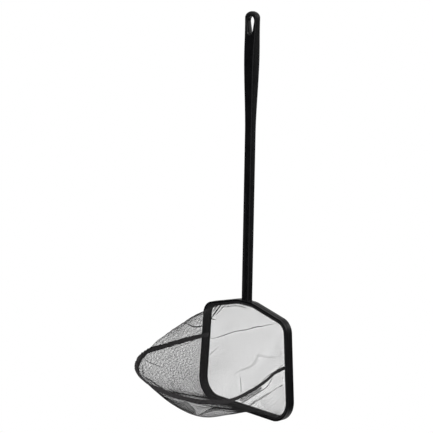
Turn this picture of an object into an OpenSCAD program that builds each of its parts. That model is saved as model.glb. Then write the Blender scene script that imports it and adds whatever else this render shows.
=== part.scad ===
// Aquarium fish net: a long moulded handle, a six-sided hoop, a ring that clamps the
// net's hem in the hoop, and a bag sewn from an upper and a lower mesh panel.
// The origin is the centre of the hanging slot's round upper end, Z runs up the handle,
// the hoop lies in the XZ plane and the bag reaches towards -Y.

/* [Overall] */
// Length from the tip of the handle to the lowest face of the hoop
overall_len = 449; // [340:1:560]

/* [Hoop] */
// Width of the hoop across its bottom corners, before they are rounded
bottom_w = 151; // [120:1:190]
// Width of the hoop across its shoulder corners, before they are rounded
shoulder_w = 134; // [105:1:170]
// Height of the two side bars between their corners
side_h = 114; // [90:1:140]
// Rise of the shoulders up to the bridge under the handle
shoulder_rise = 13.6; // [8:0.1:20]
// Width of the flat bridge that carries the handle
bridge_w = 24; // [20:0.5:34]
// Outer radius of the two bottom corners
bottom_r = 25; // [14:0.5:34]
// Outer radius of the two shoulder corners
shoulder_r = 16.5; // [12:0.5:24]
// Outer radius where a shoulder meets the bridge
bridge_r = 30; // [20:1:40]
// Width of the hoop's bars in the plane of the hoop
bar_w = 5.3; // [4.8:0.1:8]
// Depth of the hoop's bars along Y
bar_d = 9.3; // [8:0.1:12]
// Thickness of the hoop's outer wall, outside the ring
wall_t = 2.1; // [1.4:0.1:2.4]
// Thickness of the hoop's back flange, behind the hem
flange_t = 3.4; // [2.6:0.1:4]
// Width of the shallow moulding line round the outside of the hoop
line_w = 1.2; // [0.6:0.1:2]
// Depth of that moulding line
line_depth = 0.35; // [0.1:0.05:0.6]

/* [Retaining ring] */
// Width of the ring in the plane of the hoop
ring_w = 2.5; // [1.8:0.1:2.6]
// Depth of the ring's front face below the hoop's front face
ring_inset = 0.2; // [0:0.1:0.6]
// Number of pegs on the ring
peg_count = 10; // [6:1:16]
// Diameter of a peg
peg_dia = 1.6; // [1.2:0.1:1.8]
// Length of a peg beyond the hem
peg_len = 2; // [1:0.1:2.2]

/* [Handle] */
// Width of the shaft
shaft_w = 10.8; // [9:0.1:12]
// Depth of the shaft along Y
shaft_d = 7.6; // [6:0.1:7.9]
// Length of the flared grip, up to the tip
grip_len = 130; // [100:1:160]
// Depth of the grip at its fattest
grip_d = 10.8; // [8:0.1:14]
// Width of the head that holds the hanging slot
head_w = 17.8; // [17:0.1:22]
// Depth of the head
head_d = 7.3; // [6.6:0.1:9]
// Height of the rounded tip above the head's straight sides
dome_h = 7.3; // [5:0.1:10]
// Rounding of the handle's long edges
handle_edge_r = 1.3; // [0.6:0.1:2]
// Width of the flutes down the front and back of the shaft
flute_w = 6.4; // [3:0.1:7]
// Depth of the flutes
flute_depth = 0.8; // [0.3:0.1:1.4]
// Length of the flutes
flute_len = 122; // [60:1:160]

/* [Hanging slot] */
// Width of the slot at its round upper end
slot_top_w = 10.4; // [8:0.1:11]
// Width of the slot at its lower end
slot_end_w = 6.1; // [4.5:0.1:8]
// Distance between the centres of the slot's two ends
slot_run = 10.6; // [8:0.1:16]
// Distance from the slot's upper centre up to the tip of the handle
slot_to_tip = 10.6; // [9:0.1:14]
// Sideways reach of the bevel round the slot
rim_w = 1; // [0.4:0.1:1.4]
// Length of the slot's straight throat along Y
throat_d = 4.6; // [3:0.1:5.4]

/* [Net] */
// Reach of the bag from the hoop's mid plane to the middle of its far seam
bag_depth = 126.5; // [90:0.5:160]
// Height above mid hoop where the seam leaves the left side bar
seam_left_z = 18.5; // [5:0.5:24]
// Height above mid hoop where the seam leaves the right side bar
seam_right_z = 6.6; // [0:0.2:20]
// Sag of the lower panel below its straight line
lower_sag = 18; // [6:0.5:22]
// Push of the lower panel's left flank below its straight line
lower_push = 8; // [0:0.5:10]
// Rise of the upper panel's left flank
upper_rise = 12; // [2:0.5:14]
// Dip of the upper panel's middle
upper_dip = 7; // [0:0.5:12]
// Thickness of the solid that stands for a mesh panel
panel_t = 0.8; // [0.5:0.1:1.2]
// Number of openings along a panel, in the coarse grid that stands for its mesh
gaps_along = 12; // [8:1:12]
// Number of openings between the mouth and the seam
gaps_across = 8; // [4:1:12]
// Width of the bars between the openings
grid_bar_w = 2.6; // [1.6:0.1:4]
// Width of the binding tape on the seam
tape_w = 5.5; // [4:0.1:8]
// Thickness of the folded binding tape
tape_t = 1.6; // [1.2:0.1:2.4]
// Thickness of the folded hem under the ring
hem_t = 0.6; // [0.4:0.1:0.8]
// Length of one stitch on the tape
stitch_len = 2.2; // [1.5:0.1:3]
// Pitch of the stitches
stitch_pitch = 3.6; // [3:0.1:5]
// Thickness of the thread
thread_t = 0.35; // [0.2:0.05:0.5]

/* [Fits] */
// Gap between the net's soft pieces and the plastic round them
soft_gap = 0.3; // [0.2:0.05:0.5]
// Gap between the ring and the hoop's wall
ring_gap = 0.15; // [0.1:0.01:0.25]
// Gap above and below the hem
hem_gap = 0.1; // [0.05:0.01:0.2]
// Radial clearance of a peg in its hole
peg_gap = 0.05; // [0.02:0.01:0.1]

/* [Hidden] */

$fn = 48;
// Overrun of a cut past the face it opens
cut = 1;

// Heights of the hoop's levels, from the slot's upper centre
hoop_h = side_h + shoulder_rise;
hoop_top_z = slot_to_tip - overall_len + hoop_h;
mid_z = hoop_top_z - shoulder_rise - side_h / 2;

// Levels of the clamp across the hoop's depth, counted from mid depth to the front
front_f = bar_d / 2;
flange_f = -bar_d / 2 + flange_t;
hem_f = flange_f + hem_gap;
ring_back_f = hem_f + hem_t + hem_gap;
ring_front_f = front_f - ring_inset;

// Levels of the clamp across the bar, counted inwards from the hoop's outer edge
ring_s = wall_t + ring_gap;
ring_inner_s = ring_s + ring_w;
peg_s = ring_s + ring_w / 2;
panel_s = ring_inner_s + soft_gap;

// Outline of the hoop in its own plane, anticlockwise from the bottom right corner
hoop_corners = [
    [bottom_w / 2, -side_h / 2],
    [shoulder_w / 2, side_h / 2],
    [bridge_w / 2, side_h / 2 + shoulder_rise],
    [-bridge_w / 2, side_h / 2 + shoulder_rise],
    [-shoulder_w / 2, side_h / 2],
    [-bottom_w / 2, -side_h / 2]
];
hoop_radii = [bottom_r, shoulder_r, bridge_r, bridge_r, shoulder_r, bottom_r];
corner_count = len(hoop_corners);

function unit(v) = v / norm(v);
function heading(i) = unit(hoop_corners[(i + 1) % corner_count] - hoop_corners[i]);
function inward(d) = [-d.y, d.x];
function before(i) = (i + corner_count - 1) % corner_count;
function turn(i) = acos(heading(before(i)) * heading(i));
function tangent_len(i) = hoop_radii[i] * tan(turn(i) / 2);
function corner_start(i) = hoop_corners[i] - heading(before(i)) * tangent_len(i);
function corner_end(i) = hoop_corners[i] + heading(i) * tangent_len(i);
function corner_centre(i) = corner_start(i) + inward(heading(before(i))) * hoop_radii[i];
function start_angle(i) = let (n = inward(heading(before(i)))) atan2(-n.y, -n.x);

// Outline of the hoop drawn in by t, with an arc at each corner
arc_steps = 12;
function outline_points(t) = [
    for (i = [0 : corner_count - 1], k = [0 : arc_steps])
        let (a = start_angle(i) + turn(i) * k / arc_steps)
        corner_centre(i) + (hoop_radii[i] - t) * [cos(a), sin(a)]
];

// Slab of that outline from level f0 to level f1 towards the front
module hoop_slab(f0, f1, t) {
    translate([0, -f0, mid_z])
    rotate([90, 0, 0])
    linear_extrude(f1 - f0)
    polygon(outline_points(t));
}

// Band round the hoop from depth t0 to depth t1 inside its outer edge
module hoop_band(f0, f1, t0, t1) {
    difference() {
        hoop_slab(f0, f1, t0);
        hoop_slab(f0 - cut, f1 + cut, t1);
    }
}

// Closed loop at distance t inside the hoop's outer edge, anticlockwise from the middle of
// the bottom bar
function loop_points(t) = let (start = [0, -side_h / 2 + t])
    concat([start], outline_points(t), [start]);
function run_lengths(p, i = 0, sum = 0) =
    i == len(p) - 1 ? [sum] : concat([sum], run_lengths(p, i + 1, sum + norm(p[i + 1] - p[i])));
function along(p, lengths, s) = [
    for (k = [0 : len(p[0]) - 1]) lookup(s, [for (i = [0 : len(p) - 1]) [lengths[i], p[i][k]]])
];

// Mouth of the net: the loop that the middle of the mesh follows at the ring
mouth = loop_points(panel_s + panel_t / 2);
mouth_lengths = run_lengths(mouth);
mouth_total = mouth_lengths[len(mouth) - 1];
// Indexes of the loop's points where the right side starts upwards and the left one down
right_low = arc_steps + 1;
left_high = (corner_count - 1) * (arc_steps + 1);
// Length along the loop at which the straight run after point i reaches height z
function side_length_at(i, z) = let (share = (z - mouth[i].y) / (mouth[i + 1].y - mouth[i].y))
    mouth_lengths[i] + share * (mouth_lengths[i + 1] - mouth_lengths[i]);
function on_loop(s) = along(mouth, mouth_lengths, s < 0 ? s + mouth_total : s);
// Space along the side bar between the seam's middle and the start of a panel's rim
rim_start = tape_w;
function mouth_point(upper, t) = let (
    side = upper ? 1 : -1,
    from = side_length_at(right_low, seam_right_z + side * rim_start),
    to = side_length_at(left_high, seam_left_z + side * rim_start) - (upper ? 0 : mouth_total)
) on_loop(from + (to - from) * t);

// Route of the seam from the right side bar to the left one. The columns are shares of
// the mouth's half width at mid height, of the bag's depth and of the side bars' height.
seam_shares = [
    [0.980, 0.14, 0.035], [0.980, 0.28, -0.037], [0.982, 0.49, -0.101],
    [0.985, 0.68, -0.128], [0.950, 0.83, -0.107], [0.765, 0.945, -0.092],
    [0.415, 0.996, -0.084], [0.115, 1, -0.083], [-0.257, 0.988, -0.079],
    [-0.612, 0.948, -0.048], [-0.826, 0.901, 0], [-0.933, 0.822, 0.066],
    [-0.972, 0.695, 0.123], [-0.980, 0.47, 0.137], [-0.980, 0.24, 0.154]
];
mouth_half = (shoulder_w + bottom_w) / 4 - panel_s;
seam_start_y = front_f + soft_gap;
function side_x(z) = mouth_half - (bottom_w - shoulder_w) / 2 * z / side_h;
seam_route = concat(
    [[side_x(seam_right_z) - panel_t, -seam_start_y, seam_right_z]],
    [for (q = seam_shares) [q.x * mouth_half, -q.y * bag_depth, q.z * side_h]],
    [[-side_x(seam_left_z) + panel_t, -seam_start_y, seam_left_z]]
);
// Smooth curve through the route's points
curve_steps = 6;
function smooth(p0, p1, p2, p3, u) =
    (2 * p1 + (p2 - p0) * u + (2 * p0 - 5 * p1 + 4 * p2 - p3) * u * u
        + (3 * p1 - p0 - 3 * p2 + p3) * u * u * u) / 2;
route_last = len(seam_route) - 1;
seam_curve = concat(
    [for (i = [0 : route_last - 1], k = [0 : curve_steps - 1])
        smooth(seam_route[max(i - 1, 0)], seam_route[i], seam_route[i + 1],
            seam_route[min(i + 2, route_last)], k / curve_steps)],
    [seam_route[route_last]]
);
seam_lengths = run_lengths(seam_curve);
seam_total = seam_lengths[len(seam_curve) - 1];
function seam_point(t) = along(seam_curve, seam_lengths, t * seam_total);
heading_step_share = 0.01;
function seam_heading(t) =
    unit(seam_point(min(t + heading_step_share, 1)) - seam_point(max(t - heading_step_share, 0)));
// Direction across the tape, upright, and direction out of the bag
function seam_up(t) = let (h = seam_heading(t)) unit([0, 0, 1] - h * h.z);
function seam_out(t) = cross(seam_up(t), seam_heading(t));

// Height of a panel's surface above the straight line from the mouth to the seam
flank_at_share = 0.78;
flank_spread_share = 0.13;
dip_at_share = 0.45;
dip_spread_share = 0.18;
sag_at_share = 0.4;
sag_spread_share = 0.205;
push_at_share = 0.67;
push_spread_share = 0.07;
// Powers that fill out a panel's swell beside the seam's ends, and that move the upper
// flank, the push and the sag from half way towards the far seam
swell_power = 0.8;
flank_power = 1.4;
push_power = 1.1;
sag_power = 3.5;
function swell(t, v, at, spread) =
    pow(sin(180 * t), swell_power) * sin(180 * v) * exp(-pow((t - at) / spread, 2));
function bulge(upper, t, v) = upper
    ? upper_rise * swell(t, pow(v, flank_power), flank_at_share, flank_spread_share)
        - upper_dip * swell(t, v, dip_at_share, dip_spread_share)
    : -lower_push * swell(t, pow(v, push_power), push_at_share, push_spread_share)
        - lower_sag * swell(t, pow(v, sag_power), sag_at_share, sag_spread_share);

// Lines where the bars of a panel's grid start and end, as shares of the panel, with each
// opening spanned in a number of steps
function bar_lines(count, bar_share, steps) = let (pitch_share = (1 - bar_share) / count) concat(
    [for (k = [0 : count - 1]) let (from = k * pitch_share) each concat([from],
        [for (q = [0 : steps - 1]) from + bar_share + (pitch_share - bar_share) * q / steps])],
    [1 - bar_share, 1]
);
gap_steps = 3;
along_lines = bar_lines(gaps_along, grid_bar_w / seam_total, gap_steps);
across_lines = bar_lines(gaps_across, grid_bar_w / bag_depth, 1);
cells_along = len(along_lines) - 1;
cells_across = len(across_lines);

// Openings are merged across the panel near its two ends, where it is short
function merged(i) = let (k = floor(i / (gap_steps + 1)), from_end = min(k, gaps_along - 1 - k))
    from_end == 0 ? 4 : from_end == 1 ? 2 : 1;
// Cell i along and j across the panel is solid. Row 0 is the rim inside the ring, and after
// it the odd rows are bars.
function solid_cell(i, j) =
    i < 0 || j < 0 || i >= cells_along || j >= cells_across ? false
    : j == 0 || j == 1 || j == cells_across - 1 || i % (gap_steps + 1) == 0 ? true
    : j % 2 == 1 && (j - 1) / 2 % merged(i) == 0;

// Points of a panel's surface: from the rim inside the ring, past the hoop's front face, to
// the seam
rim_back_y = -(flange_f + soft_gap + hem_gap);
function panel_point(upper, t, v, y) = let (
    m = mouth_point(upper, t),
    side = upper ? 1 : -1,
    edge = seam_point(t) + seam_up(t) * side * (tape_w / 2 + panel_t / 2 + soft_gap)
) [m.x, y, m.y] * (1 - v) + edge * v + [0, 0, bulge(upper, t, v)];
function grid_normal(g, i, j) = unit(cross(
    g[min(i + 1, cells_along)][j] - g[max(i - 1, 0)][j],
    g[i][min(j + 1, cells_across)] - g[i][max(j - 1, 0)]
));

// Closed shell panel_t thick, with the grid's points in its middle
module panel(upper) {
    grid = [for (t = along_lines) concat([panel_point(upper, t, 0, rim_back_y)],
        [for (v = across_lines) panel_point(upper, t, v, -seam_start_y)])];
    half_t = upper ? panel_t / 2 : -panel_t / 2;
    points = [for (side = [half_t, -half_t], i = [0 : cells_along], j = [0 : cells_across])
        grid[i][j] + grid_normal(grid, i, j) * side];
    row = cells_across + 1;
    half = (cells_along + 1) * row;
    cells = [for (i = [0 : cells_along - 1], j = [0 : cells_across - 1])
        if (solid_cell(i, j)) [i, j]];
    faces = [for (c = cells) let (
        a = c[0] * row + c[1],
        corners = [a, a + 1, a + row + 1, a + row],
        beside = [c - [1, 0], c + [0, 1], c + [1, 0], c - [0, 1]]
    ) each concat(
        [corners, [for (k = [3 : -1 : 0]) corners[k] + half]],
        [for (k = [0 : 3]) if (!solid_cell(beside[k][0], beside[k][1]))
            let (p = corners[k], q = corners[(k + 1) % 4]) [q, p, p + half, q + half]]
    )];
    triangles = [for (f = faces, k = [1, 2])
        upper ? [f[0], f[k], f[k + 1]] : [f[k + 1], f[k], f[0]]];
    translate([0, 0, mid_z]) polyhedron(points, triangles);
}

// Handle: the width and depth of its section at share u of the way up the grip. The grip
// flares up to the foot of the dome, is fattest part of the way up, and thins over the dome.
dome_share = 1 - dome_h / grip_len;
fat_share = 0.57;
dome_thin_share = 0.5;
flare_power = 1.2;
dome_power = 3;
function ease(x) = (1 - cos(180 * x)) / 2;
function up_dome(u) = (u - dome_share) / (1 - dome_share);
function width_at(u) = u > dome_share
    ? head_w * sqrt(1 - pow(up_dome(u), 2))
    : shaft_w + (head_w - shaft_w) * pow(u / dome_share, flare_power);
function depth_at(u) = u > dome_share
    ? head_d * (1 - dome_thin_share * pow(up_dome(u), dome_power))
    : u < fat_share
        ? shaft_d + (grip_d - shaft_d) * ease(u / fat_share)
        : head_d + (grip_d - head_d) * (1 - ease((u - fat_share) / (dome_share - fat_share)));
// Heights of the grip's sections: evenly up the flare, then closer over the tip
flare_steps = 14;
tip_shares = [0.25, 0.5, 0.7, 0.85, 0.95, 0.99];
grip_shares = concat(
    [for (k = [0 : flare_steps]) dome_share * k / flare_steps],
    [for (q = tip_shares) dome_share + (1 - dome_share) * q]
);
flare_z = slot_to_tip - grip_len;
// Section of the handle: a rectangle with rounded corners, anticlockwise from above
edge_steps = 4;
function section(w, d, z) = let (r = min(handle_edge_r, w / 3, d / 3)) [
    for (q = [[1, 1, 0], [-1, 1, 90], [-1, -1, 180], [1, -1, 270]], k = [0 : edge_steps])
        let (a = q[2] + 90 * k / edge_steps)
        [q[0] * (w / 2 - r) + r * cos(a), q[1] * (d / 2 - r) + r * sin(a), z]
];
handle_sections = concat(
    [section(shaft_w, shaft_d, hoop_top_z)],
    [for (u = grip_shares) section(width_at(u), depth_at(u), flare_z + u * grip_len)]
);

module handle_blank() {
    count = len(handle_sections);
    sides = 4 * (edge_steps + 1);
    walls = [for (i = [0 : count - 2], k = [0 : sides - 1], half = [0, 1]) let (
        a = i * sides + k,
        b = i * sides + (k + 1) % sides
    ) half == 0 ? [a, a + sides, b + sides] : [a, b + sides, b]];
    caps = [
        [for (k = [0 : sides - 1]) k],
        [for (k = [sides - 1 : -1 : 0]) (count - 1) * sides + k]
    ];
    polyhedron([for (s = handle_sections, p = s) p], concat(walls, caps));
}

// Outline of the hanging slot, wider at the top, grown by e
module slot_outline(e) {
    top = slot_top_w / 2 + e;
    low = slot_end_w / 2 + e;
    lean = asin((top - low) / slot_run);
    circle(top);
    translate([0, -slot_run]) circle(low);
    polygon([
        [top * cos(lean), top * sin(lean)],
        [-top * cos(lean), top * sin(lean)],
        [-low * cos(lean), low * sin(lean) - slot_run],
        [low * cos(lean), low * sin(lean) - slot_run]
    ]);
}

// Plate of that outline, d deep, whose back face is at level f towards the front
module slot_plate(f, d, e) {
    translate([0, -f, 0]) rotate([90, 0, 0]) linear_extrude(d) slot_outline(e);
}

// Throat with a bevel at each end. A bevel reaches rim_w at the head's face, and its cutter
// goes on at the same slope to the level of the grip's fattest face.
bevel_slice = 0.35;
bevel_grow_share = (grip_d - throat_d) / (head_d - throat_d);
module slot_cut() {
    slot_plate(-grip_d / 2 - cut, grip_d + 2 * cut, 0);
    for (side = [0, 180])
        rotate([0, 0, side])
        hull() {
            slot_plate(throat_d / 2, bevel_slice, 0);
            slot_plate(grip_d / 2, bevel_slice, rim_w * bevel_grow_share);
        }
}

// Shallow round flutes down the front and back, starting a bar's width above the hoop
module flute_cut() {
    r = (flute_w * flute_w / 4 + flute_depth * flute_depth) / (2 * flute_depth);
    for (side = [0, 180])
        rotate([0, 0, side])
        translate([0, -shaft_d / 2 - r + flute_depth, hoop_top_z + bar_w])
        cylinder(h = flute_len, r = r);
}

module handle() {
    color([0.09, 0.09, 0.1])
    difference() {
        handle_blank();
        slot_cut();
        flute_cut();
    }
}

// Places of the pegs, spread evenly round the ring
peg_loop = loop_points(peg_s);
peg_lengths = run_lengths(peg_loop);
peg_total = peg_lengths[len(peg_loop) - 1];
peg_places = [for (k = [0 : peg_count - 1])
    along(peg_loop, peg_lengths, peg_total * (k + 0.5) / peg_count)];

// Cylinders on the pegs' axes, from level f0 to level f1 towards the front
module at_pegs(f0, f1, r) {
    translate([0, 0, mid_z])
    rotate([90, 0, 0])
    for (p = peg_places)
        translate([p.x, p.y, f0])
        cylinder(h = f1 - f0, r = r);
}

peg_tip_f = flange_f - peg_len;
// Depth to which a peg is rooted in the ring
ring_root = peg_dia / 2;
// Back edge of the moulding line round the outside of the hoop, two line widths from its front
line_f = front_f - 3 * line_w;

module hoop_frame() {
    color([0.08, 0.08, 0.09])
    difference() {
        hoop_band(-bar_d / 2, front_f, 0, bar_w);
        hoop_slab(flange_f, front_f + cut, wall_t);
        hoop_band(line_f, line_f + line_w, -cut, line_depth);
        at_pegs(peg_tip_f - hem_gap, flange_f + cut, peg_dia / 2 + peg_gap);
    }
}

module retaining_ring() {
    color([0.11, 0.11, 0.12])
    union() {
        hoop_band(ring_back_f, ring_front_f, ring_s, ring_inner_s);
        at_pegs(peg_tip_f, ring_back_f + ring_root, peg_dia / 2);
    }
}

module mouth_hem() {
    color([0.16, 0.16, 0.17])
    difference() {
        hoop_band(hem_f, hem_f + hem_t, ring_s, ring_inner_s);
        at_pegs(hem_f - cut, hem_f + hem_t + cut, peg_dia / 2 + peg_gap);
    }
}

module upper_panel() {
    color([0.3, 0.3, 0.31]) panel(true);
}

module lower_panel() {
    color([0.24, 0.24, 0.25]) panel(false);
}

// The tape follows the seam, and its two ends run on straight past the ring to the hem
tape_rings = 56;
module seam_tape() {
    stations = concat([[0, 1]], [for (k = [0 : tape_rings]) [k / tape_rings, 0]], [[1, 1]]);
    points = [for (q = stations) let (
        t = q[0],
        p = seam_point(t) + [0, q[1] * (seam_start_y + rim_back_y), mid_z],
        up = seam_up(t) * tape_w / 2,
        out = seam_out(t) * tape_t / 2
    ) each [p + up + out, p + up - out, p - up - out, p - up + out]];
    last = (len(stations) - 1) * 4;
    walls = [for (i = [0 : 4 : last - 4], k = [0 : 3], half = [0, 1]) let (
        a = i + k,
        b = i + (k + 1) % 4
    ) half == 0 ? [a, b + 4, b] : [a, a + 4, b + 4]];
    color([0.05, 0.05, 0.06])
        polyhedron(points, concat(walls, [[0, 1, 2, 3], [last + 3, last + 2, last + 1, last]]));
}

// Stitches in one row down the middle of the tape's outer face
module seam_thread() {
    count = floor(seam_total / stitch_pitch) - 1;
    color([0.13, 0.13, 0.14])
    for (k = [1 : count]) {
        t = k / (count + 1);
        h = seam_heading(t);
        up = seam_up(t);
        out = seam_out(t);
        p = seam_point(t) + out * (tape_t / 2 + thread_t) + [0, 0, mid_z];
        multmatrix([
            [h.x, up.x, -out.x, p.x],
            [h.y, up.y, -out.y, p.y],
            [h.z, up.z, -out.z, p.z],
            [0, 0, 0, 1]
        ])
            cube([stitch_len, thread_t, thread_t], center = true);
    }
}

handle();
hoop_frame();
retaining_ring();
mouth_hem();
upper_panel();
lower_panel();
seam_tape();
seam_thread();
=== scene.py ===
"""Looks of an aquarium fish net: satin black plastic and a bag of fine knitted mesh.

Shapes are worked out in millimetres, in the frame's own axes, and written in metres.
"f" is a level across the hoop's depth, counted from mid depth to the front, so y = -f.
"s" is a distance inwards from the hoop's outer edge.
"""
import math

import bpy
import numpy as np
from mathutils import Matrix, Vector


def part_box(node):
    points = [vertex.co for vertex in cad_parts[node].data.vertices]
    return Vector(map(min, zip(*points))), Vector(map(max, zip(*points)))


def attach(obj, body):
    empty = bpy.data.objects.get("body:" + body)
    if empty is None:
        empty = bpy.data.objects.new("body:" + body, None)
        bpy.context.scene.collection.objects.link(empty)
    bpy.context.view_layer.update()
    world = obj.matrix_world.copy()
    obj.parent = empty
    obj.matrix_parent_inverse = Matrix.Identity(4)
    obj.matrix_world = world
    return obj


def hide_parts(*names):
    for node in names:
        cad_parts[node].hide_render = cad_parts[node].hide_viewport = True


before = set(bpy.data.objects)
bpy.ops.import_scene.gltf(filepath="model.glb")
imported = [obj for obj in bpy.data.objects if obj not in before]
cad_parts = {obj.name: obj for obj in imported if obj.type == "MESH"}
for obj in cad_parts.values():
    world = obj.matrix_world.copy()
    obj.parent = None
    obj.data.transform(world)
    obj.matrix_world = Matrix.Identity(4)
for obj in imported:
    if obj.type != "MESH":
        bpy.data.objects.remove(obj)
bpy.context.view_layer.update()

MM = 0.001
FRAME_BODY = "frame"
NET_BODY = "net_insert"

# Sizes of the frame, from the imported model
hoop_low, hoop_high = (np.array(c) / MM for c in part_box("hoop_frame"))
TIP_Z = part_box("handle")[1][2] / MM
BAR_D = hoop_high[1] - hoop_low[1]
HOOP_LOW_Z, HOOP_TOP_Z = hoop_low[2], hoop_high[2]

# Sizes of the hoop
BOTTOM_W = 151.0
SHOULDER_W = 134.0
BRIDGE_W = 24.0
SHOULDER_RISE = 13.6
SIDE_H = HOOP_TOP_Z - HOOP_LOW_Z - SHOULDER_RISE
MID_Z = HOOP_LOW_Z + SIDE_H / 2
BOTTOM_R = 25.0
SHOULDER_R = 16.5
BRIDGE_R = 30.0
BAR_W = 5.3
WALL_T = 2.1
FRONT_F = BAR_D / 2
FLANGE_F = -FRONT_F + 3.4
LINE_FRONT_F = FRONT_F - 2.4
LINE_BACK_F = FRONT_F - 3.6
LINE_DEPTH = 0.35

# Sizes of the ring and the hem
RING_S = WALL_T + 0.15
RING_W = 2.5
RING_BACK_F = FLANGE_F + 0.8
RING_FRONT_F = FRONT_F - 0.2
PEG_COUNT = 10
PEG_R = 0.8
PEG_HOLE_R = 0.85
PEG_TIP_F = FLANGE_F - 2.0
HEM_S = (2.35, 5.35)
HEM_F = (-0.58, -1.12)

# Sizes of the handle
SHAFT_W = 10.8
SHAFT_D = 7.6
GRIP_LEN = 130.0
GRIP_D = 10.8
GRIP_FATTEST = 0.57  # share of the grip's length
GRIP_FLARE = 1.2
HEAD_W = 17.8
HEAD_D = 7.3
DOME_H = 7.3
EDGE_R = 1.3
FLUTE_W = 6.4
FLUTE_DEPTH = 0.8
FLUTE_LEN = 122.0
FLUTE_FADES = (4, 9)
FLUTE_LOW_Z = HOOP_TOP_Z + BAR_W
FLUTE_TOP_Z = FLUTE_LOW_Z + FLUTE_LEN
FOOT_R = 0.8
GUSSET_X = 3.3
GUSSET_H = 4.4
GUSSET_OUT = 0.75
GUSSET_HALF = 0.55
SLOT_TOP_R = 5.2
SLOT_END_R = 3.05
SLOT_RUN = 10.6
SLOT_THROAT = 4.6
SLOT_RIM = 1.0
SLOT_STEPS = 22

# Sizes of the bag
PANEL_S = RING_S + RING_W + 0.3
BAG_DEPTH = 126.5
SEAM_LEFT_Z = 18.5
SEAM_RIGHT_Z = 6.6
SEAM_START_F = FRONT_F + 0.3
LOWER_SAG = 18.0
LOWER_PUSH = 8.0
UPPER_RISE = 10.0
UPPER_SHOULDER = 6.0
UPPER_DIP = 7.0
TAPE_W = 5.5
TAPE_T = 1.6
TAPE_SPREAD = 1.05
TAPE_PRESS = 0.85
STITCH_PITCH = 3.6
STITCH_LEN = 2.3
STITCH_R = 0.17
THREAD_PITCH = 1.0
THREAD_R = 0.0985


def mesh_object(name, points_mm, faces, material, body):
    """A mesh piece from points in millimetres, riding on a body."""
    mesh = bpy.data.meshes.new(name)
    points = np.asarray(points_mm, float) * MM
    mesh.from_pydata(points.tolist(), [], [list(map(int, f)) for f in faces])
    mesh.validate()
    mesh.update()
    mesh.materials.append(material)
    mesh.polygons.foreach_set("use_smooth", [True] * len(mesh.polygons))
    piece = bpy.data.objects.new(name, mesh)
    bpy.context.collection.objects.link(piece)
    if body:
        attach(piece, body)
    return piece


def stands_for(piece, node):
    """The piece takes the node's place; the node is hidden."""
    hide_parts(node)
    return piece


def grid_faces(rows, columns, close_rows=False, close_columns=False):
    """Quads of a grid of points stored row by row."""
    i = np.arange(rows if close_rows else rows - 1)
    j = np.arange(columns if close_columns else columns - 1)
    i, j = (a.ravel() for a in np.meshgrid(i, j, indexing="ij"))
    i1, j1 = (i + 1) % rows, (j + 1) % columns
    return np.stack([i * columns + j, i * columns + j1, i1 * columns + j1, i1 * columns + j], 1)


def tube_faces(rows, sides, flip=False):
    """Faces of a tube of points stored ring by ring, with a cap at each end."""
    last = (rows - 1) * sides
    faces = grid_faces(rows, sides, False, True).tolist()
    faces += [list(range(sides - 1, -1, -1)), list(range(last, last + sides))]
    return [f[::-1] for f in faces] if flip else faces


def joined(parts):
    """Points and faces of several meshes as one mesh."""
    starts = np.cumsum([0] + [len(points) for points, faces in parts])
    return (np.vstack([points for points, faces in parts]),
            [[k + start for k in face]
             for (points, faces), start in zip(parts, starts) for face in faces])


def left_of(v):
    """The direction a quarter turn to the left, in a plane."""
    return np.stack([-v[..., 1], v[..., 0]], -1)


def unit(v):
    v = np.asarray(v, float)
    return v / np.maximum(np.linalg.norm(v, axis=-1, keepdims=True), 1e-12)


# The hoop's outline
HALF = np.array([
    [BOTTOM_W / 2, -SIDE_H / 2],
    [SHOULDER_W / 2, SIDE_H / 2],
    [BRIDGE_W / 2, SIDE_H / 2 + SHOULDER_RISE],
])
CORNERS = np.vstack([HALF, HALF[::-1] * [-1, 1]])
RADII = [BOTTOM_R, SHOULDER_R, BRIDGE_R, BRIDGE_R, SHOULDER_R, BOTTOM_R]


def outline(s, steps=18):
    """Points of the hoop's outline drawn in by s, anticlockwise from the bottom right corner."""
    points = []
    for i, radius in enumerate(RADII):
        before = unit(CORNERS[i] - CORNERS[i - 1])
        after = unit(CORNERS[(i + 1) % len(CORNERS)] - CORNERS[i])
        turn = math.acos(float(before @ after))
        inward = left_of(before)
        centre = CORNERS[i] - before * radius * math.tan(turn / 2) + inward * radius
        start = math.atan2(-inward[1], -inward[0])
        angles = start + turn * np.linspace(0, 1, steps + 1)
        points += [centre + (radius - s) * np.array([math.cos(a), math.sin(a)]) for a in angles]
    return np.array(points)


def closed_loop(s, steps=18):
    """The same outline, closed, starting at the middle of the bottom bar."""
    start = [[0, -SIDE_H / 2 + s]]
    return np.vstack([start, outline(s, steps), start])


def lengths_along(points):
    """Length of the polyline up to each of its points."""
    return np.concatenate([[0], np.cumsum(np.linalg.norm(np.diff(points, axis=0), axis=1))])


def along(points, lengths, at):
    """Points of the polyline at those lengths."""
    return np.stack([np.interp(at, lengths, points[:, k]) for k in range(points.shape[1])], -1)


def rounded(corners, steps=5):
    """A closed outline with each corner (a, b, radius) rounded."""
    points = []
    count = len(corners)
    for i, (a, b, radius) in enumerate(corners):
        here = np.array([a, b])
        to_last = unit(np.array(corners[i - 1][:2]) - here)
        to_next = unit(np.array(corners[(i + 1) % count][:2]) - here)
        half = math.acos(float(np.clip(to_last @ to_next, -1, 1))) / 2
        reach = radius / math.tan(half)
        centre = here + unit(to_last + to_next) * radius / math.sin(half)
        start, end = here + to_last * reach, here + to_next * reach
        for k in range(steps + 1):
            mix = start + (end - start) * k / steps
            points.append(centre + unit(mix - centre) * radius)
    return np.array(points)


def round_angles(sides):
    """Angles of that many points, evenly round a circle."""
    return 2 * math.pi * np.arange(sides) / sides


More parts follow.
